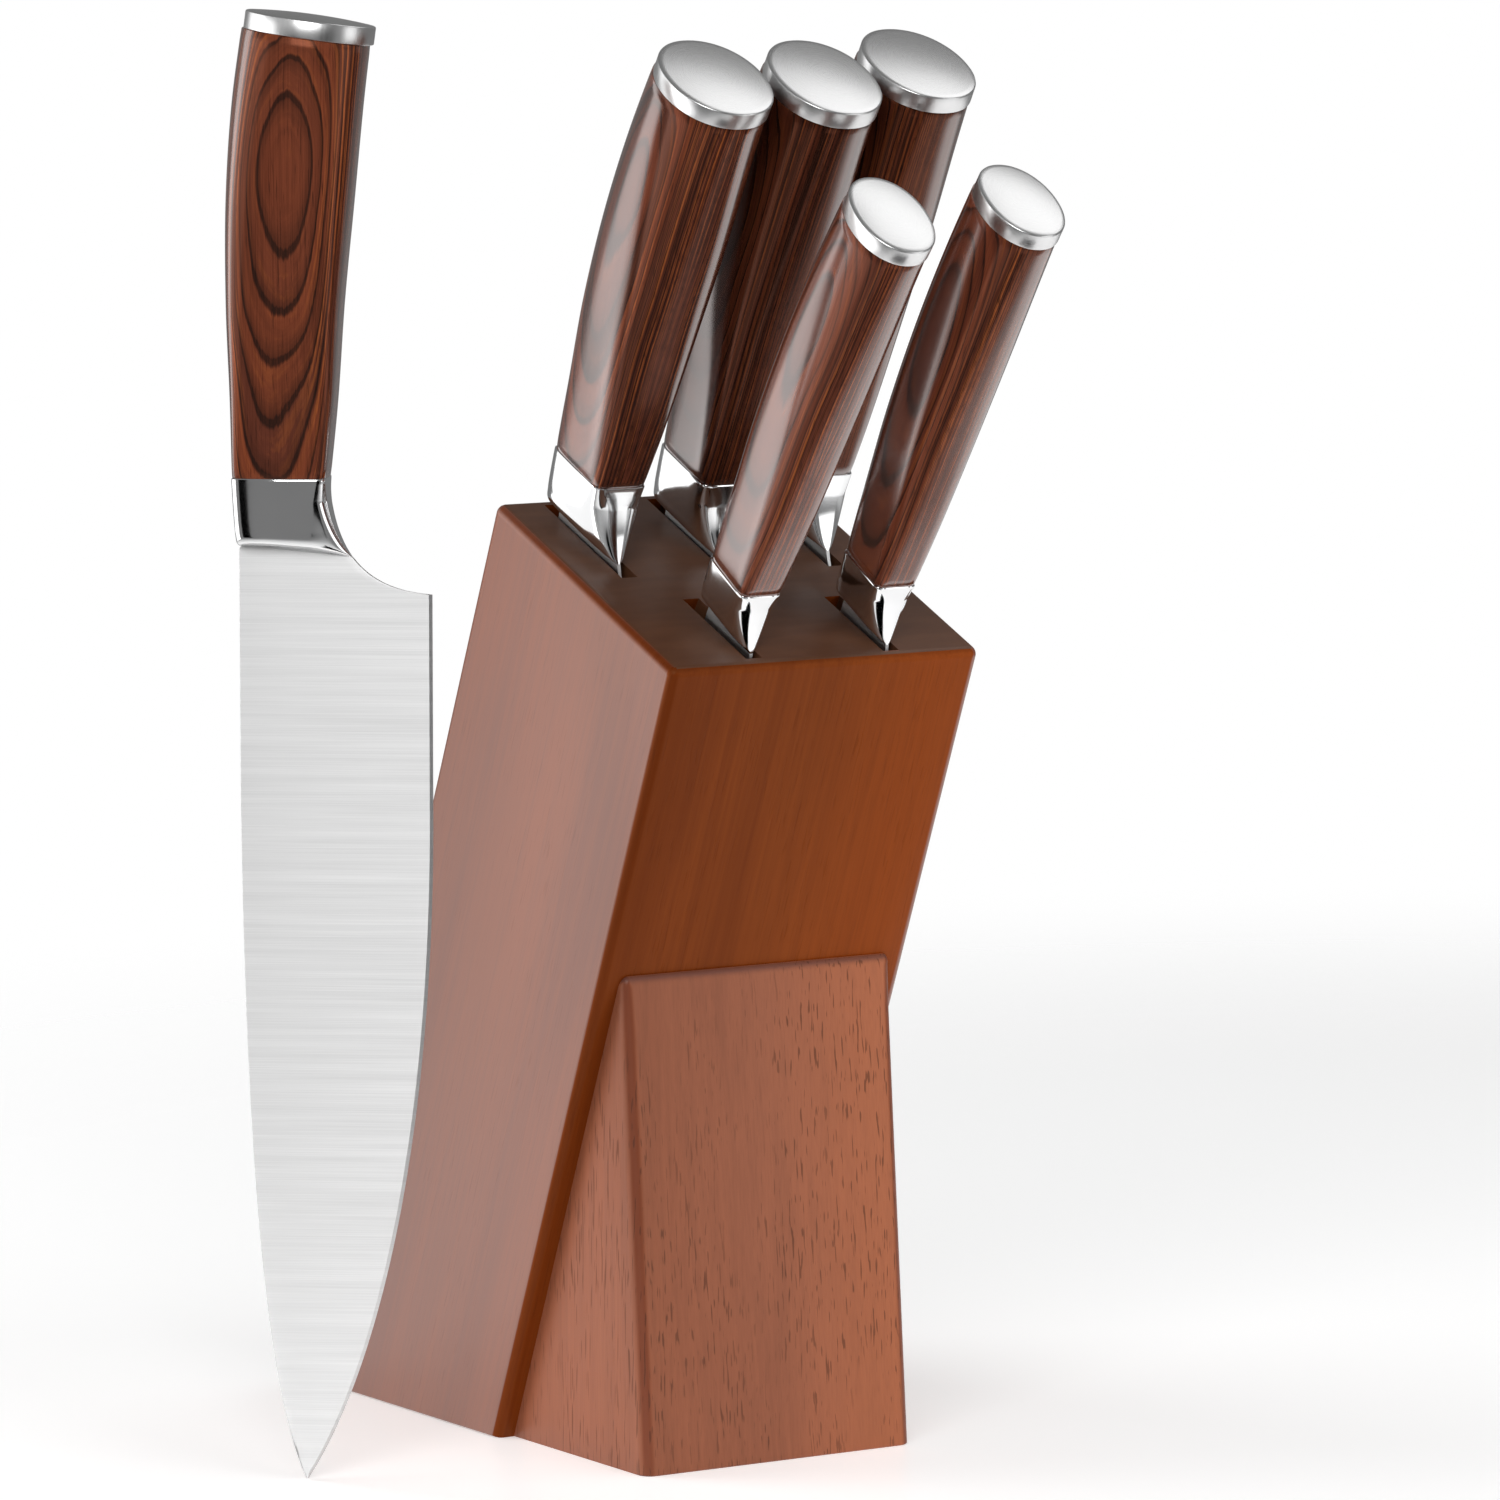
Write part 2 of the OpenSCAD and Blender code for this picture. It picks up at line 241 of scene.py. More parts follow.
def block_outline(radius, inset=0.0, slot=None):
    """The block from the side as (y, z) points in its own frame, drawn in by inset."""
    depth, length = block_depth() / MM, block_length() / MM
    slope = math.tan(block_lean())
    r = max(radius - inset, 0.02)
    back, front, top = -inset, inset - depth, length - inset
    lift = 0.35 * inset
    points = [(back, -back * slope + lift)]
    points += arc((back - r, top - r), r, 0, 90, 6)
    if slot is not None:
        rear, fore, deep, tilt = slot
        shift = deep * math.tan(math.radians(tilt))
        points += [(-rear, top), (shift - rear, length - deep)]
        points += [(shift - fore, length - deep), (-fore, top)]
    points += arc((front + r, top - r), r, 90, 180, 6)
    points.append((front, -front * slope + lift))
    return points


def slab(name, x0, x1, outline):
    """A flat board with the same outline from x0 to x1."""
    return loft(name, [[(x, y, z) for y, z in outline] for x in (x0, x1)])


def cheek(name, inner, outer, radius):
    """An outer board, with its outer face's edges rounded over."""
    side = math.copysign(1.0, outer)
    rings = [(inner, 0.0)]
    for i in range(9):
        turn = math.radians(90 * i / 8)
        rings.append((outer - side * radius * (1 - math.sin(turn)), radius * (1 - math.cos(turn))))
    return loft(
        name, [[(x, y, z) for y, z in block_outline(radius, inset)] for x, inset in rings]
    )


# ---------------------------------------------------------------- the foot


FOOT_FRONT_LEAN = math.radians(4.6)
FOOT_CHAMFER = 0.3
# The foot's rounded top: its height, and how far it draws in at the front and at each side.
FOOT_CROWN = (2.6, 1.0, 1.9)


def foot_rings(radius):
    """Outlines of the foot from its underside up, in the row's frame."""
    low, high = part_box("foot")
    half_w, height = high.x / MM, high.z / MM
    base_front, base_back = low.y / MM, high.y / MM
    lean = math.tan(block_lean())
    front_lean = math.tan(FOOT_FRONT_LEAN)
    crown, crown_front, crown_side = FOOT_CROWN
    levels = [(0.0, FOOT_CHAMFER, 0.2), (FOOT_CHAMFER, 0.0, 0.0)]
    levels += [((height - crown) * i / 12, 0.0, 0.0) for i in range(1, 13)]
    for turn in (15, 30, 45, 60, 75, 88):
        up, over = math.sin(math.radians(turn)), 1 - math.cos(math.radians(turn))
        levels.append((height - crown + crown * up, crown_front * over, crown_side * over))
    rings = []
    for z, front_inset, side_inset in levels:
        rear = base_back - z * lean
        front = min(base_front + z * front_lean + front_inset, rear - 0.2)
        side = half_w - side_inset
        r = min(radius, rear - front)
        ring = [(side, rear)]
        ring += arc((side - r, front + r), r, 0, -90, 8)
        ring += arc((r - side, front + r), r, -90, -180, 8)
        ring += [(-side, rear)]
        rings.append([(x, y, z) for x, y in ring])
    return rings


# ---------------------------------------------------------------- the knives

KNIVES = ("slicing", "santoku", "bread", "utility", "paring", "chef")

# Handle sections from the bolster up: place along the handle, shift towards the
# edge, half width, half thickness, squareness.
LARGE_HANDLE = (
    (0.00, 0.0, 10.6, 6.9, 7.0),
    (0.17, 0.7, 11.7, 8.6, 5.0),
    (0.38, 1.1, 12.9, 10.6, 3.8),
    (0.60, 2.3, 14.1, 11.9, 3.0),
    (0.81, 4.1, 14.6, 12.6, 2.4),
    (1.00, 6.6, 14.5, 12.7, 2.1),
)
SMALL_HANDLE = (
    (0.00, 0.0, 8.1, 5.5, 7.0),
    (0.17, 0.6, 9.3, 6.6, 5.0),
    (0.38, 1.1, 10.5, 7.8, 3.8),
    (0.60, 2.2, 11.5, 8.6, 3.0),
    (0.81, 3.8, 12.1, 9.1, 2.4),
    (1.00, 5.8, 12.2, 9.2, 2.1),
)
WIDE_HEEL = ((0.04, 0.66), (0.36, 0.97))
NARROW_HEEL = ((0.22, 0.45), (0.55, 0.85))


class Knife:
    """One knife's shape.

    Length runs from the heel to the tip, and drop from the handle's joint down to
    the heel. Edge, spine and tip are distances towards the edge. Spine_run and
    edge_run are how far up from the tip each line curves. Heel shapes the front
    line between handle and heel, and the bolster covers the share end of it.
    """

    def __init__(self, length, drop, edge, spine, tip, spine_run, edge_run, heel, end, rows):
        self.drop, self.edge, self.spine = drop, edge, spine
        self.tip = (tip, -drop - length)
        self.spine_run, self.edge_run = spine_run, edge_run
        self.heel, self.end, self.rows = heel, end, rows

    def heel_line(self):
        """The front line from the handle joint down to the heel."""
        start = Vector((self.rows[0][2], 0.0))
        reach = Vector((self.edge - start.x, -self.drop))
        near, far = self.heel
        return (
            start,
            start + Vector((reach.x * near[0], reach.y * near[1])),
            start + Vector((reach.x * far[0], reach.y * far[1])),
            start + reach,
        )

    def from_tip(self, a, run, early, late):
        """A curve that rises from the tip and runs out straight along the blade."""
        tip = Vector(self.tip)
        da = a - tip.x
        return (
            tip,
            tip + Vector((da * early[0], run * early[1])),
            tip + Vector((da * late[0], run * late[1])),
            Vector((a, tip.y + run)),
        )


SHAPES = {
    "chef": Knife(200, 26, 33.6, -9.5, 4.6, 154, 154, WIDE_HEEL, 0.45, LARGE_HANDLE),
    "slicing": Knife(200, 20, 19.4, -9.5, 3.5, 72, 90, NARROW_HEEL, 0.72, LARGE_HANDLE),
    "santoku": Knife(170, 24, 31.4, -9.5, 17, 70, 62, WIDE_HEEL, 0.46, LARGE_HANDLE),
    "bread": Knife(200, 20, 19.4, -9.5, 3, 26, 34, NARROW_HEEL, 0.72, LARGE_HANDLE),
    "utility": Knife(127, 16.5, 12.6, -7.4, -1.5, 60, 84, NARROW_HEEL, 0.72, SMALL_HANDLE),
    "paring": Knife(90, 16.5, 12.6, -7.4, 0.5, 48, 62, NARROW_HEEL, 0.72, SMALL_HANDLE),
}
# Painted shade: handles whose colours are darkened to stand for the shade their neighbours cast on
# them.
PAINTED_SHADES = {"santoku": 0.45, "bread": 0.5}
HANDLE_LENGTH = 102.0
CAP_BAND = 4.6
CAP_TILT = math.radians(7.8)
TANG_HALF = 4.5
TANG_LENGTH = 88.0

# A blade's half thickness, how much thinner its flats are at the edge, the ground
# bevel's width, the cutting edge's half thickness and the spine's broken corner.
HALF_BLADE = 1.1
FLAT_TAPER = 0.75
BEVEL = 0.75
KEEN = 0.04
BROKEN_CORNER = 0.12
TOOTH_PITCH = 7.5
TOOTH_DEPTH = 1.1

# How far the smoothed handle would stand proud of its straight-sided outline.
BULGE = 0.08


def handle_rings(shape, seam):
    """Sections of a handle, from its joint with the bolster to the cap's plane."""
    top = HANDLE_LENGTH - CAP_BAND
    shift = shape.rows[-1][1]
    count = 80
    steps = 44
    levels = [(0.0, seam), (seam / top, seam * 0.3)]
    levels += [(i / steps, 0.0) for i in range(1, steps)]
    levels += [(1.0 - seam / top, seam * 0.3), (1.0, seam)]
    rings = []
    for t, inset in levels:
        ring = []
        first = smooth_rows(shape.rows, t * top / HANDLE_LENGTH)
        flat = oval(first[1], first[2], first[3], count)
        for i, (_, a) in enumerate(flat):
            z = t * top - t * t * (a + first[0] - shift) * math.tan(CAP_TILT)
            row = smooth_rows(shape.rows, z / HANDLE_LENGTH)
            x, a = oval(row[1] - inset - BULGE, row[2] - inset - BULGE, row[3], count)[i]
            ring.append((x, -(a + row[0]), z))
        rings.append(ring)
    return rings


# The end cap from its underside up: height, inset from the rim.
CAP_RIM = ((0.0, 0.18), (0.12, 0.03), (0.3, 0.0), (3.75, 0.0), (3.95, 0.08), (4.08, 0.3))
CAP_CROWN = 0.78


def cap_rings(shape):
    """Sections of an end cap in its own tilted plane, domed at the top."""
    _, _, half_w, half_t, squareness = shape.rows[-1]
    count = 80
    levels = list(CAP_RIM)
    rim_z, rim_inset = levels[-1]
    for i in range(1, 13):
        share = 1.0 - i / 12.5
        levels.append(
            (rim_z + CAP_CROWN * (1.0 - share * share), rim_inset + (half_t - 0.4) * (1.0 - share))
        )
    rings = []
    for z, inset in levels:
        scale = 1.0 - inset / half_t
        rings.append(
            [(x, -a, z) for x, a in oval(half_w * scale, half_t * scale, squareness, count)]
        )
    return rings


def cap_place(shape):
    """The end cap's plane in the knife's frame."""
    shift = shape.rows[-1][1]
    at = Vector((0.0, -shift, HANDLE_LENGTH - CAP_BAND)) * MM
    return Matrix.Translation(at) @ Matrix.Rotation(CAP_TILT, 4, "X")


# A bolster going down: half thickness at its rear and at its front as shares of
# the handle's, squareness.
BOLSTER_TAPER = (
    (0.0, 1.0, 1.0, 9.0),
    (0.3, 0.99, 0.87, 9.0),
    (0.6, 0.965, 0.63, 9.0),
    (0.85, 0.9, 0.38, 8.0),
    (0.95, 0.66, 0.27, 6.0),
    (1.0, 0.18, 0.17, 4.0),
)


def bolster_rings(shape, seam):
    """Sections of a bolster, from the thin shoulder on the blade to the handle."""
    _, _, half_w, half_t, _ = shape.rows[0]
    line = shape.heel_line()
    count = 120
    steps = 36
    rear_rise = 2.4
    arch = 0.8
    round_front = 1.7
    rings = []
    for i in range(steps, -1, -1):
        t = i / steps
        front = bezier(line, t * shape.end)
        rear = -half_w + t * (shape.spine + half_w)
        rear_share, front_share, squareness = smooth_rows(BOLSTER_TAPER, t)
        middle, half = (front.x + rear) / 2, (front.x - rear) / 2
        inset = seam if i == 0 else 0.0
        ring = []
        for x, a in oval(half - inset, 1.0, squareness, count):
            forward = (a / half + 1) / 2
            thick = half_t * (rear_share + (front_share - rear_share) * forward**3) - inset
            z = front.y + t * t * ((1 - forward) * rear_rise + arch * math.sin(math.pi * forward))
            fade = min(t / 0.25, 1.0) * max(2 * forward - 1, 0.0) ** 2
            a -= round_front * front_share * fade * x * x
            ring.append((x * thick, -(a + middle), z))
        rings.append(ring)
        if i == 1:
            rings.append([(x, y, -seam) for x, y, _ in ring])
    return rings


def blade_outline(shape, serrated):
    """Pairs of points on spine and edge from the tip to the tang's end, and whether each is sharp."""
    spine = shape.from_tip(shape.spine, shape.spine_run, (0.68, 0.13), (0.95, 0.49))
    edge = shape.from_tip(shape.edge, shape.edge_run, (0.52, 0.15), (1.01, 0.49))
    line = shape.heel_line()
    heel_z = -shape.drop
    spine_heel_z = heel_z - 2.0
    tip_steps = 60
    pairs = []
    for i in range(1, tip_steps + 1):
        t = (i / tip_steps) ** 1.3
        pairs.append((bezier(spine, t), bezier(edge, t), True))
    spine_z, edge_z = pairs[-1][0].y, pairs[-1][1].y
    straight_steps = 150 if serrated else 30
    for i in range(1, straight_steps + 1):
        t = i / straight_steps
        rear = Vector((shape.spine, spine_z + (spine_heel_z - spine_z) * t))
        front = Vector((shape.edge, edge_z + (heel_z - edge_z) * t))
        pairs.append((rear, front, True))
    heel_steps = 30
    hidden_end = shape.end - 0.18
    hidden_z = bezier(line, hidden_end).y
    for i in range(1, heel_steps + 1):
        t = i / heel_steps
        at = 1.0 + (hidden_end - 1.0) * t
        tuck = Vector((0.8 * min(max((shape.end - at) / 0.04, 0.0), 1.0), 0.0))
        rear = Vector((shape.spine, spine_heel_z + (hidden_z - spine_heel_z) * t))
        pairs.append((rear + tuck, bezier(line, at) - tuck, False))
    for z in (hidden_z + 0.05, TANG_LENGTH):
        pairs.append((Vector((-TANG_HALF, z)), Vector((TANG_HALF, z)), False))
    return pairs


def blade_rings(shape, serrated):
    """Flat sections across a blade, from its tip to its heel and on to the tang's end."""
    across = 14
    rings = []
    for rear, front, sharp in blade_outline(shape, serrated):
        width = max((front - rear).length, 0.05)
        bevel = min(BEVEL / width, 0.45)
        side = [(0.0, HALF_BLADE - BROKEN_CORNER), (min(BROKEN_CORNER / width, 0.2), HALF_BLADE)]
        for i in range(1, across + 1):
            v = (1.0 - bevel) * i / across
            a = rear.x + (front.x - rear.x) * v
            towards_edge = max((a - shape.spine) / (shape.edge - shape.spine), 0.0)
            thick = HALF_BLADE - FLAT_TAPER * towards_edge**1.2
            side.append((v, thick if rear.x != -TANG_HALF else HALF_BLADE))
        side.append((1.0, KEEN if sharp else side[-1][1] * 0.9))
        notch = 0.0
        if serrated and sharp:
            notch = TOOTH_DEPTH * abs(math.sin(math.pi * front.y / TOOTH_PITCH)) ** 0.7
        ring = []
        for v, thick in side:
            point = rear + (front - rear) * v
            ring.append((thick, -(point.x - notch * v**6), point.y))
        ring += [(-x, y, z) for x, y, z in reversed(ring)]
        rings.append(ring)
    return rings


# ---------------------------------------------------------------- shaders


def add_node(tree, kind, settings=None, sockets=None, output=0):
    """Adds one node: its type, its settings, then its sockets' values or links."""
    made = tree.nodes.new(kind)
    for name, value in (settings or {}).items():
        if name == "stops":
            while len(made.color_ramp.elements) < len(value):
                made.color_ramp.elements.new(0.5)
            for stop, (place, colour) in zip(made.color_ramp.elements, value):
                stop.position = place
                stop.color = (*colour, 1.0)
        else:
            setattr(made, name, value)
    for name, value in (sockets or {}).items():
        place = made.inputs[name]
        if isinstance(value, Maths):
            tree.links.new(value.socket, place)
        elif place.type == "RGBA":
            place.default_value = (*value[:3], 1.0)
        else:
            place.default_value = value
    return Maths(tree, made.outputs[output]) if made.outputs else None


class Maths:
    """A shader socket that takes part in Python expressions."""

    def __init__(self, tree, socket):
        self.tree = tree
        self.socket = socket

    def math(self, operation, *values, clamp=False):
        """A Math node of the values."""
        settings = {"operation": operation, "use_clamp": clamp}
        return add_node(self.tree, "ShaderNodeMath", settings, dict(enumerate(values)))

    def __add__(self, other):
        return self.math("ADD", self, other)

    def __radd__(self, other):
        return self.math("ADD", other, self)

    def __sub__(self, other):
        return self.math("SUBTRACT", self, other)

    def __rsub__(self, other):
        return self.math("SUBTRACT", other, self)

    def __mul__(self, other):
        return self.math("MULTIPLY", self, other)

    def __rmul__(self, other):
        return self.math("MULTIPLY", other, self)

    def __truediv__(self, other):
        return self.math("DIVIDE", self, other)

    def __pow__(self, other):
        return self.math("POWER", self, other)

    def floor(self):
        return self.math("FLOOR", self)

    def fraction(self):
        return self.math("FRACT", self)

    def absolute(self):
        return self.math("ABSOLUTE", self)

    def clamped(self):
        return self.math("ADD", self, 0.0, clamp=True)

    def step(self, low, high):
        """0 below low, 1 above high, smooth between them."""
        settings = {"interpolation_type": "SMOOTHSTEP"}
        sockets = {"Value": self, "From Min": low, "From Max": high}
        return add_node(self.tree, "ShaderNodeMapRange", settings, sockets, "Result")


class Finish:
    """A material being put together from nodes."""

    def __init__(self, name):
        self.material = bpy.data.materials.new(name)
        self.material.use_nodes = True
        self.tree = self.material.node_tree
        self.tree.nodes.clear()

    def node(self, kind, settings=None, sockets=None, output=0):
        """Adds one node to this material."""
        return add_node(self.tree, kind, settings, sockets, output)

    def place(self):
        """The place in the piece's own frame, in metres."""
        return self.node("ShaderNodeAttribute", {"attribute_name": OWN_PLACE}, output="Vector")

    def scaled(self, vector, scale):
        """Coordinates stretched along each axis."""
        return self.node(
            "ShaderNodeVectorMath", {"operation": "MULTIPLY"}, {0: vector, 1: scale}
        )

    def noise(self, vector, detail=3.0, roughness=0.55, distortion=0.0):
        """Fractal noise around 0.5."""
        return self.node(
            "ShaderNodeTexNoise",
            {"noise_dimensions": "3D"},
            {
                "Vector": vector,
                "Scale": 1.0,
                "Detail": detail,
                "Roughness": roughness,
                "Distortion": distortion,
            },
        )

    def ramp(self, value, stops):
        """A colour that follows a value."""
        return self.node("ShaderNodeValToRGB", {"stops": stops}, {"Fac": value})

    def mix(self, share, a, b):
        """Two colours mixed by a share from 0 to 1."""
        return self.node("ShaderNodeMix", {"data_type": "RGBA"}, {0: share, 6: a, 7: b}, 2)

    def split(self, vector, axis):
        """One coordinate of a vector: X, Y or Z."""
        return self.node("ShaderNodeSeparateXYZ", None, {"Vector": vector}, output=axis)

    def slanting(self, low, high):
        """0 where the surface is seen square on, 1 where it is seen at a slant."""
        facing = self.node("ShaderNodeLayerWeight", None, {"Blend": 0.5}, output="Facing")
        return facing.step(low, high)

    def bump(self, height, strength, distance):
        """A normal that follows a height."""
        return self.node(
            "ShaderNodeBump", None, {"Height": height, "Strength": strength, "Distance": distance}
        )

    def surface(self, **sockets):
        """The finished surface, from names such as base_color or roughness."""
        named = {key.replace("_", " ").title(): value for key, value in sockets.items()}
        named = {key.replace("Ior", "IOR"): value for key, value in named.items()}
        shader = self.node("ShaderNodeBsdfPrincipled", None, named)
        self.node("ShaderNodeOutputMaterial", None, {"Surface": shader})
        return self.material


# Higher than a real lacquer's 1.5: the sheen at a slant stays pale under lights dim
# enough not to burn out a drawn blade.
COAT_IOR = 2.2


def stained_wood(name, dark, light, level, tint, pores, sheen, edges):
    """Satin-lacquered stained wood with its grain running up the piece.

    The colour is lighter towards the right-hand side, a painted pool of light, and darker on the
    rounded edges and sloping crowns, which is painted shade.
    """
    f = Finish(name)
    at = f.place()
    figure = f.noise(f.scaled(at, (38.0, 38.0, 5.0)), 3.0, 0.5, 0.3)
    streak = f.noise(f.scaled(at, (520.0, 520.0, 9.0)), 3.0, 0.6)
    fibre = f.noise(f.scaled(at, (2600.0, 2600.0, 60.0)), 2.0, 0.5)
    vessel = f.noise(f.scaled(at, (2100.0, 2100.0, 125.0)), 1.0, 0.3)
    patch = f.noise(f.scaled(at, (60.0, 60.0, 18.0)), 2.0, 0.5)
    pore = vessel.step(0.62, 0.69) * patch.step(0.3, 0.6)
    tone = (figure * 0.55 + streak * 0.45).step(0.3, 0.7)
    colour = f.mix(tone, dark, light)
    # Painted light: the colour grows lighter and warmer towards the right-hand side, standing for
    # light that falls from the right.
    painted_light_right = f.split(at, "X").step(-0.004, 0.034)
    colour = f.mix(painted_light_right * 0.42, colour, (light[0] * 1.75, light[1] * 1.6, light[2] * 1.2))
    colour = f.mix((fibre - 0.4).clamped() * 0.5, colour, [c * 0.6 for c in dark])
    facing = f.node("ShaderNodeNewGeometry", output="Normal")
    sideways, upwards = f.split(facing, "X").absolute(), f.split(facing, "Z")
    # Painted shade: the rounded side edges are darkened, as strongly as edges sets.
    painted_edge_shade = sideways.step(0.08, 0.4) * (1.0 - sideways.step(0.75, 0.97))
    colour = f.mix(painted_edge_shade * edges, colour, (dark[0] * 0.7, dark[1] * 0.5, dark[2] * 0.4))
    # Painted shade: faces sloping upwards, such as rounded top edges and the foot's crown, are
    # darkened purplish brown, as strongly as edges sets.
    crown = upwards.step(0.12, 0.5) * (1.0 - upwards.step(0.85, 0.95))
    colour = f.mix(crown * edges, colour, (dark[0] * 0.5, dark[1] * 0.6, dark[2] * 1.0))
    colour = f.mix(pore * pores, colour, [c * 0.25 for c in dark])
    height = fibre * 0.5 + streak * 0.3 - pore * 0.8
    return f.surface(
        base_color=colour,
        roughness=(0.38 + (streak - 0.5) * 0.14 + pore * 0.2).clamped(),
        normal=f.bump(height, 0.2, 0.0001),
        specular_ior_level=level,
        specular_tint=tint,
        coat_weight=f.slanting(0.28, 0.46) * sheen if sheen else 0.0,
        coat_roughness=0.36,
        coat_ior=COAT_IOR,
    )


def end_grain(name, dark, light):
    """The cut ends of the boards, darker with the stain and dotted with pores, and darker still as
    painted shade; the same finish paints the shade inside the slots.
    """
    f = Finish(name)
    at = f.place()
    rings = f.noise(f.scaled(at, (60.0, 260.0, 60.0)), 3.0, 0.55, 0.4)
    dots = f.noise(f.scaled(at, (2300.0, 2300.0, 300.0)), 2.0, 0.5)
    tone = (rings * 0.6 + dots * 0.4).step(0.3, 0.7)
    return f.surface(
        base_color=f.mix(tone, dark, light),
        roughness=(0.46 + (dots - 0.5) * 0.12).clamped(),
        normal=f.bump(dots, 0.08, 0.00006),
        specular_ior_level=0.35,
        coat_weight=0.06,
        coat_roughness=0.3,
    )


# In metres: one dyed sheet's thickness, and how the sheets bow towards the cap on
# the flats: how far, from what height, and over what rise.
SHEET = 0.00112
BOW = 0.003
BOW_FROM = 0.062
BOW_RISE = 0.036
# How strongly the sheets crown across the handle's width, per metre, and how far
# their middle swings towards the edge at the cap.
SHEET_CROWN = 16.0
SHEET_SWING = 0.0066


def laminated_wood(name, seed, painted_shade, colours):
    """Glossy resin-filled laminated wood: thin dyed sheets stacked through the handle.

    The sheets bow a little towards the cap, so that they close into ovals on the
    handle's flat sides.
    """
    # Painted shade: the share given for this knife darkens all of its handle's colours.
    dark, brown, red, orange = ([c * painted_shade for c in colour] for colour in colours)
    f = Finish(name)
    at = f.place()
    apart = (0.0, seed * 0.37, seed)
    moved = f.node("ShaderNodeVectorMath", {"operation": "ADD"}, {0: at, 1: apart})
    sway = f.noise(f.scaled(moved, (22.0, 60.0, 22.0)), 1.0, 0.5) - 0.5
    ripple = f.noise(f.scaled(moved, (200.0, 1500.0, 45.0)), 2.0, 0.6) - 0.5
    height = f.split(at, "Z")
    across = f.split(at, "Y") + (height / (HANDLE_LENGTH * MM)) ** 2.0 * SHEET_SWING
    rise = (height - BOW_FROM) / BOW_RISE
    flat = 1.0 - across.absolute().step(0.004, 0.012)
    bow = rise * rise * rise.step(-0.3, 0.3) * flat * BOW
    crown = across * across * SHEET_CROWN
    depth = f.split(at, "X").absolute() - bow - crown + sway * 0.0018 + ripple * 0.00018
    sheet = depth / SHEET - 0.12
    number = sheet.floor()
    share = sheet.fraction()
    pick = f.node("ShaderNodeTexWhiteNoise", {"noise_dimensions": "1D"}, {"W": number + seed * 7.0})
    base = f.ramp(
        pick, [(0.0, brown), (0.35, red), (0.6, brown), (0.85, red), (1.0, dark)]
    )
    along_sheet = f.node(
        "ShaderNodeCombineXYZ",
        None,
        {"X": depth * 2300.0, "Y": across * 90.0, "Z": height * 9.0 + seed},
    )
    thread = f.noise(along_sheet, 3.0, 0.7).step(0.3, 0.7)
    band = f.noise(f.scaled(along_sheet, (0.22, 0.4, 0.4)), 1.0, 0.5).step(0.42, 0.6)
    grain = f.noise(f.scaled(moved, (700.0, 3000.0, 34.0)), 3.0, 0.6)
    pores = f.noise(f.scaled(moved, (1500.0, 2400.0, 120.0)), 1.0, 0.5).step(0.64, 0.74)
    edge = across.absolute().step(0.006, 0.011) * 0.75 + 0.25
    olive = [(a + b) / 2 for a, b in zip(dark, brown)]
    colour = f.mix(band * edge * 0.75, base, olive)
    colour = f.mix((thread - 0.55).clamped() * edge * 2.0, colour, orange)
    colour = f.mix((0.42 - thread).clamped() * edge * 1.8, colour, dark)
    colour = f.mix((grain - 0.42).clamped() * 1.6, colour, [c * 0.35 for c in brown])
    colour = f.mix(pores * 0.5, colour, dark)
    halo = (1.0 - share.step(0.0, 0.6)) * 0.6
    line = (1.0 - share.step(0.03, 0.16)) + share.step(0.9, 1.0)
    colour = f.mix((halo + line).clamped() * (0.6 + grain * 0.5).clamped(), colour, dark)
    return f.surface(
        base_color=colour,
        roughness=(0.2 + (grain - 0.5) * 0.1).clamped(),
        normal=f.bump(grain * 0.6 - pores * 0.4, 0.1, 0.00005),
        specular_ior_level=0.5,
        specular_tint=(1.0, 0.35, 0.2),
        coat_weight=f.slanting(0.32, 0.46),
        coat_roughness=0.16,
        coat_ior=COAT_IOR,
    )


def brushed_steel(name):
    """A blade's flat, ground with fine lines across its width."""
    f = Finish(name)
    at = f.place()
    lines = f.noise(f.scaled(at, (40.0, 22.0, 4200.0)), 2.0, 0.6)
    broad = f.noise(f.scaled(at, (10.0, 9.0, 420.0)), 3.0, 0.6)
    tone = (lines * 0.5 + broad * 0.5).step(0.25, 0.75)
    colour = f.mix(tone, (0.6, 0.6, 0.6), (0.74, 0.74, 0.74))
    return f.surface(
        base_color=colour,
        metallic=1.0,
        roughness=(0.44 + (lines - 0.5) * 0.2).clamped(),
        normal=f.bump(lines * 0.6 + broad * 0.4, 0.18, 0.00002),
        anisotropic=0.8,
        anisotropic_rotation=0.25,
    )


def polished_steel(name):
    """A mirror polish with faint wiping marks."""
    f = Finish(name)
    at = f.place()
    wipe = f.noise(f.scaled(at, (180.0, 240.0, 900.0)), 3.0, 0.6)
    haze = f.noise(f.scaled(at, (90.0, 90.0, 60.0)), 2.0, 0.5)
    return f.surface(
        base_color=f.mix(haze, (0.8, 0.805, 0.81), (0.9, 0.9, 0.905)),
        metallic=1.0,
        roughness=(0.08 + (wipe - 0.5) * 0.06 + haze * 0.03).clamped(),
        normal=f.bump(wipe, 0.03, 0.00001),
    )


def satin_steel(name):
    """An end cap: finely turned satin on top, polished round the band."""
    f = Finish(name)
    at = f.place()
    x, y = f.split(at, "X"), f.split(at, "Y")
    radius = (x * x + y * y) ** 0.5
    rings = f.node(
        "ShaderNodeTexNoise",
        {"noise_dimensions": "1D"},
        {"W": radius * 9000.0, "Scale": 1.0, "Detail": 2.0},
    )
    haze = f.noise(f.scaled(at, (60.0, 60.0, 60.0)), 2.0, 0.5)
    top = f.split(at, "Z").step(0.0038, 0.0042)
    return f.surface(
        base_color=f.mix(haze, (0.7, 0.7, 0.7), (0.78, 0.78, 0.78)),
        metallic=1.0,
        roughness=(0.3 - top * 0.02 + (rings - 0.5) * 0.08).clamped(),
        normal=f.bump(rings * top, 0.06, 0.00002),
    )


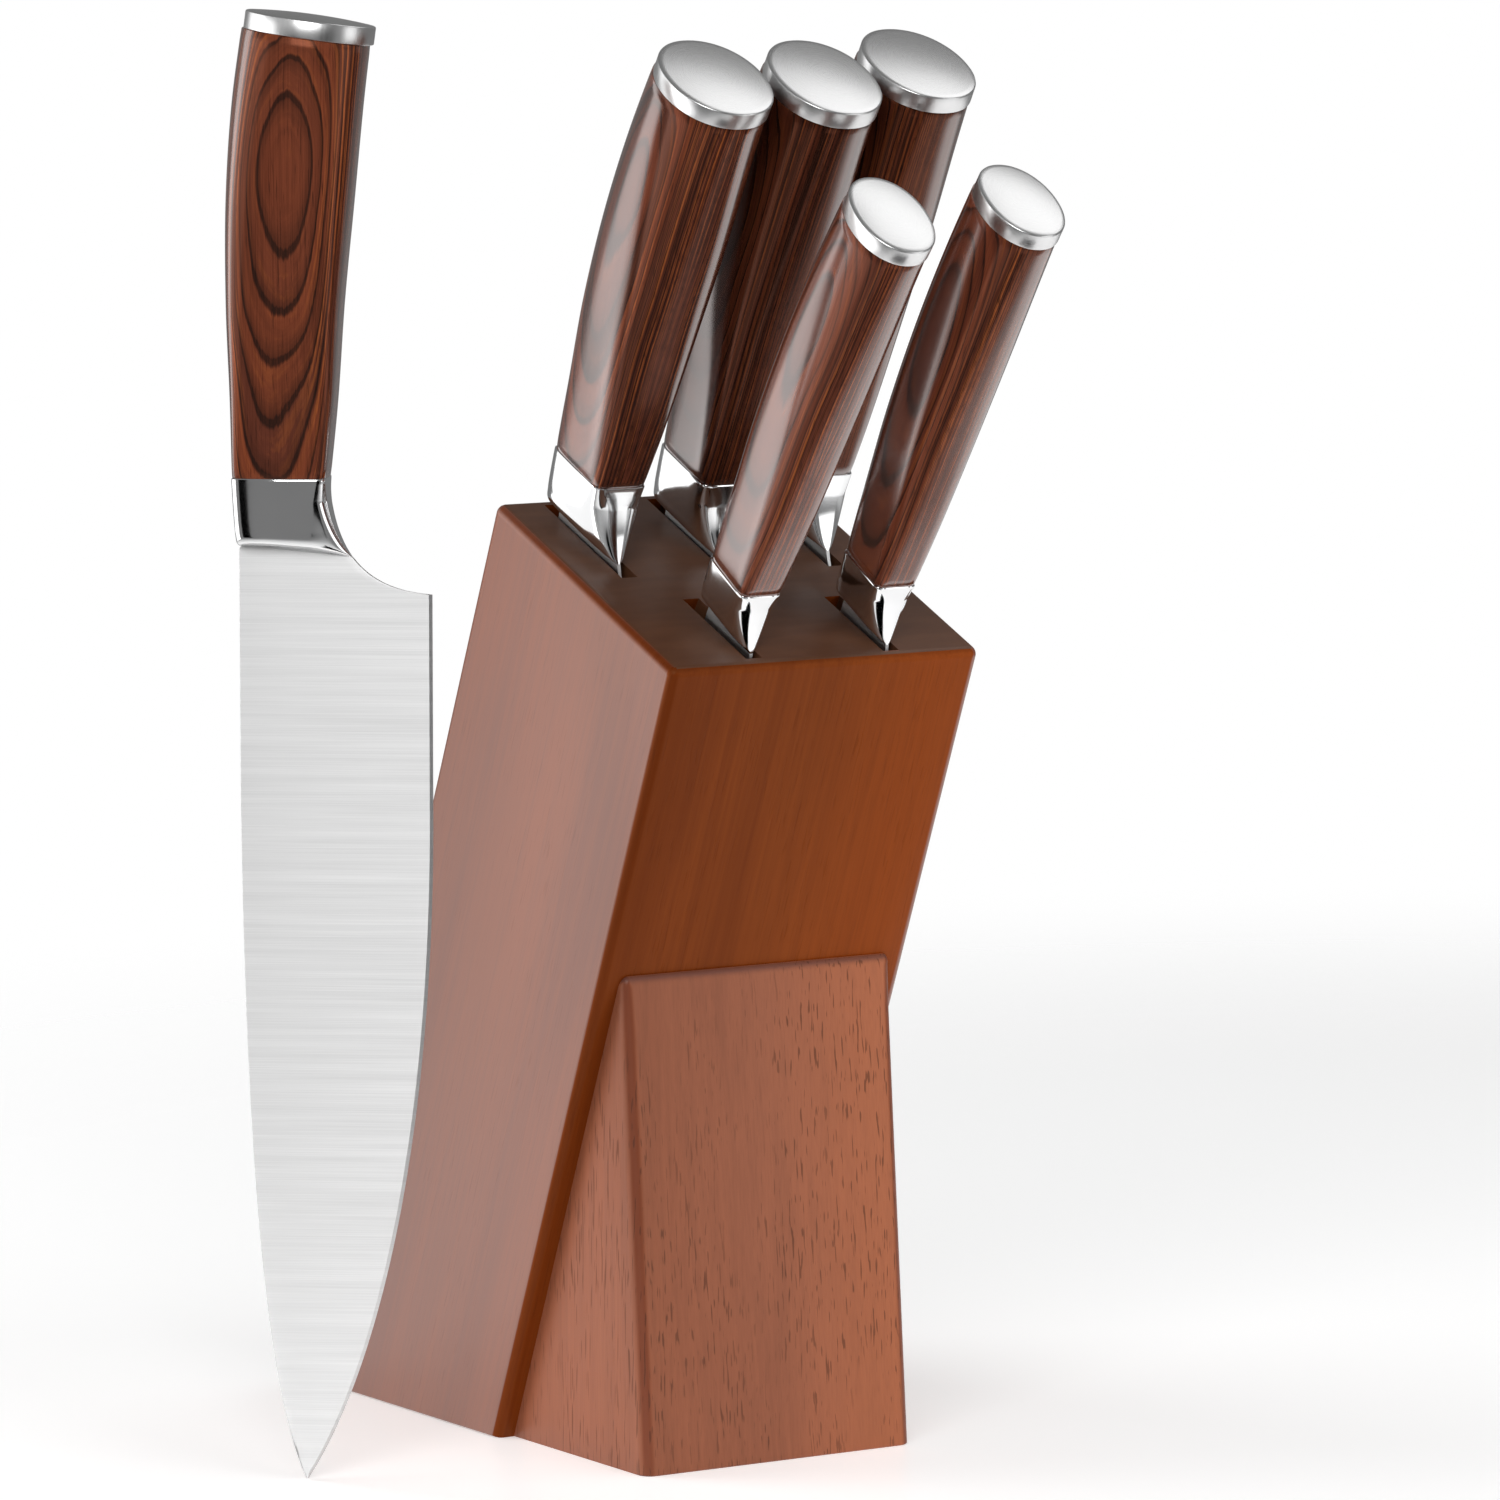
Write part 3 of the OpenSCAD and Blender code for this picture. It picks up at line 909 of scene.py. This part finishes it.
def ground_edge(name):
    """Ground steel made darker for the bevel along a cutting edge, a painted reflection of the dark
    that the bevel faces.
    """
    f = Finish(name)
    lines = f.noise(f.scaled(f.place(), (40.0, 900.0, 5200.0)), 1.0, 0.5)
    return f.surface(
        base_color=f.mix(lines, (0.13, 0.13, 0.135), (0.3, 0.3, 0.305)),
        metallic=1.0,
        roughness=(0.32 + (lines - 0.5) * 0.2).clamped(),
    )


def plain_beech(name, light, dark):
    """The glue dowels' pale wood."""
    f = Finish(name)
    at = f.place()
    grain = f.noise(f.scaled(at, (900.0, 60.0, 900.0)), 3.0, 0.6)
    flecks = f.noise(f.scaled(at, (1500.0, 300.0, 1500.0)), 1.0, 0.5).step(0.62, 0.7)
    colour = f.mix(grain, light, dark)
    return f.surface(
        base_color=f.mix(flecks * 0.4, colour, [c * 0.5 for c in dark]),
        roughness=(0.55 + grain * 0.15).clamped(),
        normal=f.bump(grain, 0.2, 0.0001),
    )


def pale_floor(name, colour, glow, radius):
    """The stage's plain floor, lit a little from below and fading out at its rim."""
    f = Finish(name)
    at = f.node("ShaderNodeTexCoord", output="Object")
    mottle = f.noise(f.scaled(at, (6.0, 6.0, 6.0)))
    x, y = f.split(at, "X"), f.split(at, "Y")
    away = (x * x + y * y) ** 0.5
    return f.surface(
        base_color=f.mix(mottle, colour, [c * 0.995 for c in colour]),
        alpha=1.0 - away.step(radius * 0.45, radius * 0.98),
        roughness=0.3,
        specular_ior_level=0.3,
        emission_color=(1.0, 1.0, 1.0, 1.0),
        emission_strength=glow,
    )


# ---------------------------------------------------------------- settings


def colour_property(name, description, default):
    """A colour that a user may change."""
    return bpy.props.FloatVectorProperty(
        name=name, description=description, subtype="COLOR", size=3, min=0.0, max=1.0, default=default
    )


def length_property(name, description, default, low, high):
    """A length in metres that a user may change."""
    return bpy.props.FloatProperty(
        name=name, description=description, unit="LENGTH", min=low, max=high, default=default
    )


def angle_property(name, description, degrees):
    """An angle that a user may change."""
    return bpy.props.FloatProperty(
        name=name, description=description, subtype="ANGLE", default=math.radians(degrees)
    )


class WoodSettings(bpy.types.PropertyGroup):
    """Sizes and colours of the block and its foot"""

    edge_radius: length_property(
        "Edge radius", "Rounding of the block's outer edges", 0.0022, 0.0005, 0.005
    )
    foot_radius: length_property(
        "Foot radius", "Rounding of the foot's two front edges", 0.003, 0.0005, 0.008
    )
    dark: colour_property("Dark grain", "The stain in the darker grain", (0.132, 0.0235, 0.0028))
    light: colour_property("Light grain", "The stain in the lighter grain", (0.2, 0.041, 0.0056))
    # The end-grain colours are partly the stain's darker take on cut ends and partly painted shade
    # for the top face and the slot walls.
    end_dark: colour_property("Dark end grain", "The boards' cut ends", (0.075, 0.028, 0.012))
    end_light: colour_property("Light end grain", "The boards' cut ends", (0.105, 0.042, 0.019))
    # Painted light: the foot's colours are a lighter, paler copy of the block's stain, standing for
    # the extra light on the foot's front.
    foot_dark: colour_property("Foot dark grain", "The foot's darker grain", (0.22, 0.068, 0.032))
    foot_light: colour_property("Foot light grain", "The foot's lighter grain", (0.29, 0.092, 0.044))


class KnifeSettings(bpy.types.PropertyGroup):
    """Sizes and colours of the knives"""

    chef_turn: angle_property(
        "Chef's knife turn", "How far the standing knife is turned from the block's direction", 52.0
    )
    seam: length_property(
        "Seam", "Rounding where the handle meets the steel", 0.00018, 0.00005, 0.0005
    )
    sheet_dark: colour_property("Dark sheet", "The handle's darkest sheets", (0.012, 0.008, 0.007))
    sheet_brown: colour_property("Brown sheet", "The handle's brown sheets", (0.115, 0.033, 0.02))
    sheet_red: colour_property("Red sheet", "The handle's red-brown sheets", (0.21, 0.052, 0.023))
    sheet_orange: colour_property("Orange sheet", "The handle's lightest sheets", (0.42, 0.115, 0.03))


class StudioSettings(bpy.types.PropertyGroup):
    """The camera, the lights and the floor"""

    azimuth: angle_property("Azimuth", "Where the camera stands round the block", -32.664)
    elevation: angle_property("Elevation", "How far the camera looks down", 6.776)
    distance: length_property(
        "Distance", "From the camera to the point it looks at", 2.05, 0.5, 10.0
    )
    aim: bpy.props.FloatVectorProperty(
        name="Aim",
        description="The point that the camera looks at",
        default=(0.0097, -0.0739, 0.1591),
        size=3,
        subtype="TRANSLATION",
    )
    lens: bpy.props.FloatProperty(
        name="Lens", description="Focal length in millimetres on a 36 mm sensor", default=215.74
    )
    floor_colour: colour_property("Floor", "The floor's colour", (0.95, 0.95, 0.95))
    floor_glow: bpy.props.FloatProperty(
        name="Floor glow",
        description="How strongly the floor is lit from below",
        default=0.36,
        min=0.0,
    )


# ---------------------------------------------------------------- operators


def takes_end_grain_or_shade(normal, outward):
    """Whether a board's face is a cut end, or is glued to the next board, where a slot leaves it open
    and its dark finish is painted shade.

    Outward is -1 or 1 for a cheek, towards its outer face, and 0 for a board between.
    """
    glued = abs(normal.x) > 0.9 and normal.x * outward <= 0.0
    return glued or normal.z > 0.9


class KNIFEBLOCK_OT_block(bpy.types.Operator):
    """Make the block's cheeks, boards and slotted spacers"""

    bl_idname = "knife_block.block"
    bl_label = "Make the block"

    def execute(self, context):
        wood = context.scene.knife_block_wood
        radius = wood.edge_radius / MM
        side = stained_wood(
            "stained_wood",
            wood.dark,
            wood.light,
            level=0.175,
            tint=(1.0, 0.6, 0.3),
            pores=0.12,
            sheen=0.68,
            # edges sets the strength of the painted shade on rounded edges and crowns.
            edges=0.25,
        )
        ends = end_grain("end_grain", wood.end_dark, wood.end_light)
        place = block_frame()
        for node in CHEEKS + BOARDS + SPACERS:
            low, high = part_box(node)
            x0, x1 = low.x / MM, high.x / MM
            outward = math.copysign(1.0, x0) if node in CHEEKS else 0.0
            if outward:
                inner, outer = (x1, x0) if outward < 0 else (x0, x1)
                piece = cheek(node + "_wood", inner, outer, radius)
            else:
                outline = block_outline(radius, 0.0, SLOTS.get(node))
                piece = slab(node + "_wood", x0, x1, outline)
            faces = piece.data.polygons
            # Cut ends take the darker end grain; the glued faces show it inside the slots as painted
            # shade.
            end_grain_or_shade_faces = [face.index for face in faces if takes_end_grain_or_shade(face.normal, outward)]
            fit_piece(piece, node, "block", side, place)
            piece.data.materials.append(ends)
            for index in end_grain_or_shade_faces:
                piece.data.polygons[index].material_index = 1
        return {"FINISHED"}


class KNIFEBLOCK_OT_foot(bpy.types.Operator):
    """Make the wedge-shaped foot"""

    bl_idname = "knife_block.foot"
    bl_label = "Make the foot"

    def execute(self, context):
        wood = context.scene.knife_block_wood
        piece = loft("foot_wood", foot_rings(wood.foot_radius / MM))
        # The foot's lighter colours are painted light for the extra light on its front.
        material = stained_wood(
            "foot_wood",
            wood.foot_dark,
            wood.foot_light,
            level=0.3,
            tint=(1.0, 0.9, 0.85),
            pores=0.6,
            sheen=0.0,
            # edges sets the strength of the painted shade on rounded edges and crowns.
            edges=0.75,
        )
        fit_piece(piece, "foot", "block", material)
        return {"FINISHED"}


class KNIFEBLOCK_OT_dowels(bpy.types.Operator):
    """Give the glue dowels their finish"""

    bl_idname = "knife_block.dowels"
    bl_label = "Finish the dowels"

    def execute(self, context):
        dowels = frame["nodes"]["foot_dowels"]
        dowels.data.materials.clear()
        dowels.data.materials.append(plain_beech("beech", (0.62, 0.42, 0.24), (0.5, 0.31, 0.16)))
        return {"FINISHED"}


# A face of a blade this near the row's middle plane gets the darker ground finish, a painted
# reflection, in metres.
MIDDLE_REACH = 0.00005


def fit_knife_part(piece, knife, part, material, own_place=None):
    """Puts a blade, bolster, handle or cap in its knife's place."""
    turn = bpy.context.scene.knife_block_knives.chef_turn
    place = knife_frame(knife, turn) @ (own_place or Matrix())
    fit_piece(piece, knife + "_" + part, knife + "_knife", material, place)


class KNIFEBLOCK_OT_blades(bpy.types.Operator):
    """Make the six blades with their tangs"""

    bl_idname = "knife_block.blades"
    bl_label = "Make the blades"

    def execute(self, context):
        flat, edge = brushed_steel("brushed_steel"), ground_edge("ground_edge")
        for knife in KNIVES:
            rings = blade_rings(SHAPES[knife], knife == "bread")
            piece = loft(knife + "_blade_steel", rings, 20.0)
            fit_knife_part(piece, knife, "blade", flat)
            piece.data.materials.append(edge)
            # The blade is in the row's frame by now, so this finds faces on the santoku alone.
            for face in piece.data.polygons:
                if min(abs(piece.data.vertices[i].co.x) for i in face.vertices) < MIDDLE_REACH:
                    face.material_index = 1
        return {"FINISHED"}


class KNIFEBLOCK_OT_bolsters(bpy.types.Operator):
    """Make the six polished bolsters"""

    bl_idname = "knife_block.bolsters"
    bl_label = "Make the bolsters"

    def execute(self, context):
        seam = context.scene.knife_block_knives.seam / MM
        material = polished_steel("polished_steel")
        for knife in KNIVES:
            piece = loft(knife + "_bolster_steel", bolster_rings(SHAPES[knife], seam), 40.0)
            fit_knife_part(piece, knife, "bolster", material)
        return {"FINISHED"}


class KNIFEBLOCK_OT_handles(bpy.types.Operator):
    """Make the six laminated handles"""

    bl_idname = "knife_block.handles"
    bl_label = "Make the handles"

    def execute(self, context):
        settings = context.scene.knife_block_knives
        seam = settings.seam / MM
        names = ("sheet_dark", "sheet_brown", "sheet_red", "sheet_orange")
        colours = [getattr(settings, name) for name in names]
        for number, knife in enumerate(KNIVES):
            name = "laminated_wood_" + knife
            material = laminated_wood(name, 1.0 + number, PAINTED_SHADES.get(knife, 1.0), colours)
            piece = loft(knife + "_handle_wood", handle_rings(SHAPES[knife], seam), 40.0)
            fit_knife_part(piece, knife, "handle", material)
        return {"FINISHED"}


class KNIFEBLOCK_OT_caps(bpy.types.Operator):
    """Make the six steel end caps"""

    bl_idname = "knife_block.caps"
    bl_label = "Make the end caps"

    def execute(self, context):
        material = satin_steel("satin_steel")
        for knife in KNIVES:
            shape = SHAPES[knife]
            piece = loft(knife + "_cap_steel", cap_rings(shape), 40.0)
            fit_knife_part(piece, knife, "cap", material, cap_place(shape))
        return {"FINISHED"}


# Lights: name, place, width and height, radiance, and where they differ from the rest
# the part ("shine" has no plain lighting and "fill" no reflections) and the point faced.
MIDDLE = (0.0, 0.0, 0.15)
LIGHTS = (
    ("left_back_light", (-1.15, 1.0, 0.47), (1.3, 1.25), 1.3, "shine"),
    ("left_back_fill", (-1.15, 1.0, 0.47), (1.3, 1.25), 5.3, "fill"),
    ("low_back_light", (-1.1, 1.05, -0.52), (1.5, 0.9), 0.9, "shine", (0.0, 0.0, -0.52)),
    ("left_light", (-1.5, 0.35, -0.05), (1.1, 1.7), 1.6, "shine", (0.0, 0.0, 0.0)),
    ("top_light", (0.85, -0.1, 1.5), (0.9, 0.9), 1.25),
    ("front_right_light", (0.9, -1.4, 0.25), (0.8, 0.8), 1.3),
    ("near_right_fill", (0.5, -0.55, 0.22), (0.3, 0.4), 1.0, "fill"),
    ("high_front_fill", (0.2, -1.2, 1.1), (0.8, 0.8), 2.4, "fill"),
    ("edge_light", (0.96, -1.2, 0.95), (0.4, 0.4), 1.8),
    ("front_left_light", (-1.3, -1.4, 1.05), (1.3, 0.9), 5.5),
)
# Black cards: name, place, width and height, and the point that each faces.
CARDS = (
    ("left_card", (-1.0, -0.64, 0.5), (0.3, 1.6), (0.0, 0.0, 0.5)),
    ("front_card", (-0.31, -1.16, 0.15), (0.5, 0.7), (0.0, 0.0, 0.15)),
    ("low_card", (-0.04, -0.28, 0.012), (0.2, 0.16), (-0.04, -0.28, 1.0)),
)
FLOOR_RADIUS = 0.8
FLOOR_MIDDLE = (0.3, -0.05, 0.0)
ROOM_LIGHT = 0.2


def stand_facing(thing, at, aim):
    """Stands a light or a card at a point, turned to face another."""
    thing.location = at
    thing.rotation_mode = "QUATERNION"
    thing.rotation_quaternion = (Vector(aim) - Vector(at)).to_track_quat("-Z", "Y")
    bpy.context.scene.collection.objects.link(thing)


def softbox(name, at, size, radiance, part="all", aim=MIDDLE):
    """A rectangular light of even radiance."""
    data = bpy.data.lights.new(name, "AREA")
    data.shape = "RECTANGLE"
    data.size, data.size_y = size
    data.energy = radiance * math.pi * size[0] * size[1]
    lamp = bpy.data.objects.new(name, data)
    lamp.visible_camera = False
    lamp.visible_diffuse = part != "shine"
    lamp.visible_glossy = part != "fill"
    stand_facing(lamp, at, aim)


def dark_card(name, at, size, aim):
    """A black card that only reflections see."""
    mesh = bpy.data.meshes.new(name)
    bm = bmesh.new()
    bmesh.ops.create_grid(bm, x_segments=1, y_segments=1, size=0.5)
    bm.to_mesh(mesh)
    bm.free()
    card = bpy.data.objects.new(name, mesh)
    card.scale = (*size, 1.0)
    card.visible_camera = card.visible_diffuse = card.visible_shadow = False
    stand_facing(card, at, aim)
    black = Finish(name).surface(base_color=(0.0, 0.0, 0.0), roughness=1.0, specular_ior_level=0.0)
    mesh.materials.append(black)


class KNIFEBLOCK_OT_studio(bpy.types.Operator):
    """Make the floor, the lights and the camera"""

    bl_idname = "knife_block.studio"
    bl_label = "Make the studio"

    def execute(self, context):
        scene = context.scene
        studio = scene.knife_block_studio
        self.make_floor(studio)
        self.make_sky(scene)
        for light in LIGHTS:
            softbox(*light)
        for card in CARDS:
            dark_card(*card)
        self.make_camera(scene, studio)
        scene.view_settings.view_transform = "Standard"
        return {"FINISHED"}

    def make_floor(self, studio):
        """A round floor under the object."""
        mesh = bpy.data.meshes.new("floor")
        bm = bmesh.new()
        bmesh.ops.create_circle(bm, cap_ends=True, radius=FLOOR_RADIUS, segments=96)
        bm.to_mesh(mesh)
        bm.free()
        floor = bpy.data.objects.new("floor", mesh)
        floor.location = FLOOR_MIDDLE
        bpy.context.scene.collection.objects.link(floor)
        finish = pale_floor("pale_floor", studio.floor_colour, studio.floor_glow, FLOOR_RADIUS)
        mesh.materials.append(finish)

    def make_sky(self, scene):
        """A dim room with a white backdrop behind the object from every side."""
        world = bpy.data.worlds.new("studio")
        scene.world = world
        world.use_nodes = True
        tree = world.node_tree
        tree.nodes.clear()
        white = (1.0, 1.0, 1.0)
        room = add_node(tree, "ShaderNodeBackground", None, {"Color": white, "Strength": ROOM_LIGHT})
        backdrop = add_node(tree, "ShaderNodeBackground", None, {"Color": white, "Strength": 1.0})
        seen = add_node(tree, "ShaderNodeLightPath", output="Is Camera Ray")
        sky = add_node(tree, "ShaderNodeMixShader", None, {0: seen, 1: room, 2: backdrop})
        add_node(tree, "ShaderNodeOutputWorld", None, {"Surface": sky})

    def make_camera(self, scene, studio):
        """The camera, looking at its aim from the given direction."""
        a, e = studio.azimuth, studio.elevation
        back = Vector((math.sin(a) * math.cos(e), -math.cos(a) * math.cos(e), math.sin(e)))
        data = bpy.data.cameras.new("camera")
        data.sensor_width = 36.0
        data.lens = studio.lens
        data.clip_start, data.clip_end = 0.05, 100.0
        camera = bpy.data.objects.new("camera", data)
        camera.location = Vector(studio.aim) + back * studio.distance
        camera.rotation_euler = Euler((math.pi / 2 - e, 0.0, a))
        scene.collection.objects.link(camera)
        scene.camera = camera


STEPS = (
    KNIFEBLOCK_OT_block,
    KNIFEBLOCK_OT_foot,
    KNIFEBLOCK_OT_dowels,
    KNIFEBLOCK_OT_blades,
    KNIFEBLOCK_OT_bolsters,
    KNIFEBLOCK_OT_handles,
    KNIFEBLOCK_OT_caps,
    KNIFEBLOCK_OT_studio,
)


class KNIFEBLOCK_PT_panel(bpy.types.Panel):
    """Lists the workshop's steps and settings"""

    bl_label = "Knife Block"
    bl_idname = "KNIFEBLOCK_PT_panel"
    bl_space_type = "VIEW_3D"
    bl_region_type = "UI"
    bl_category = "Knife Block"

    def draw(self, context):
        for step in STEPS:
            self.layout.operator(step.bl_idname)
        for group in ("wood", "knives", "studio"):
            settings = getattr(context.scene, "knife_block_" + group)
            box = self.layout.box()
            for name in settings.__annotations__:
                box.prop(settings, name)


GROUPS = {"wood": WoodSettings, "knives": KnifeSettings, "studio": StudioSettings}
CLASSES = (*GROUPS.values(), *STEPS, KNIFEBLOCK_PT_panel)


def register():
    for cls in CLASSES:
        bpy.utils.register_class(cls)
    for name, group in GROUPS.items():
        setattr(bpy.types.Scene, "knife_block_" + name, bpy.props.PointerProperty(type=group))


def unregister():
    for name in GROUPS:
        delattr(bpy.types.Scene, "knife_block_" + name)
    for cls in reversed(CLASSES):
        bpy.utils.unregister_class(cls)


def main():
    register()
    for step in STEPS:
        group, name = step.bl_idname.split(".")
        getattr(getattr(bpy.ops, group), name)()


if __name__ == "__main__":
    main()
